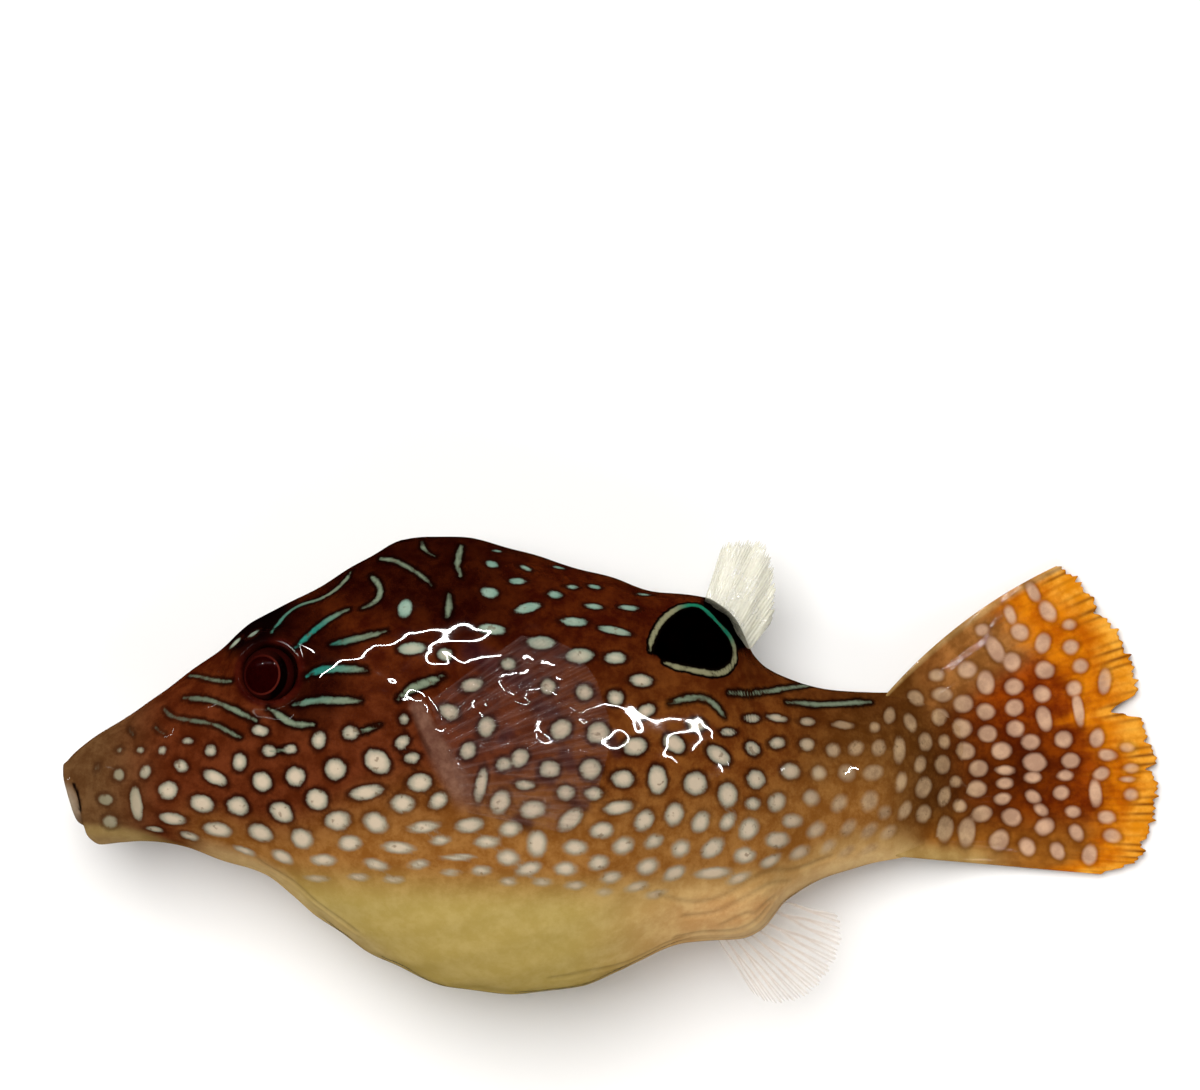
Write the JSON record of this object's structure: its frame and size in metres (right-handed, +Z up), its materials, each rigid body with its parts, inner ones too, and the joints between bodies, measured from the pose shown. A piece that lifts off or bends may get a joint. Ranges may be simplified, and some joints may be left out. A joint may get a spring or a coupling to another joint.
{
  "type": "spotted sharpnose puffer fish specimen",
  "caption": "Small spotted pufferfish with a pointed snout and a fan tail, lying on its right side as a caught specimen.",
  "frame": {"origin": "on the floor under the middle of the fish's bounding box", "axes": "+X along the fish from the snout to the tail, +Y towards its back, +Z up, out of its left side"},
  "size_m": [0.0576, 0.0246, 0.0134],
  "materials": {
    "skin": "wet spotted skin, brown over a tan belly",
    "tail_fin_membrane": "thin wet rust-orange fin skin",
    "clear_fin_membrane": "thin clear fin skin",
    "eye": "wet dark eye"
  },
  "bodies": {
    "root": {"head": "skin", "trunk": "skin", "tail": "skin", "caudal_fin": "tail_fin_membrane", "dorsal_fin": "clear_fin_membrane", "anal_fin": "clear_fin_membrane", "pectoral_fin_left": "clear_fin_membrane", "pectoral_fin_right": "clear_fin_membrane", "eye_left": "eye", "eye_right": "eye"}
  },
  "joints": []
}
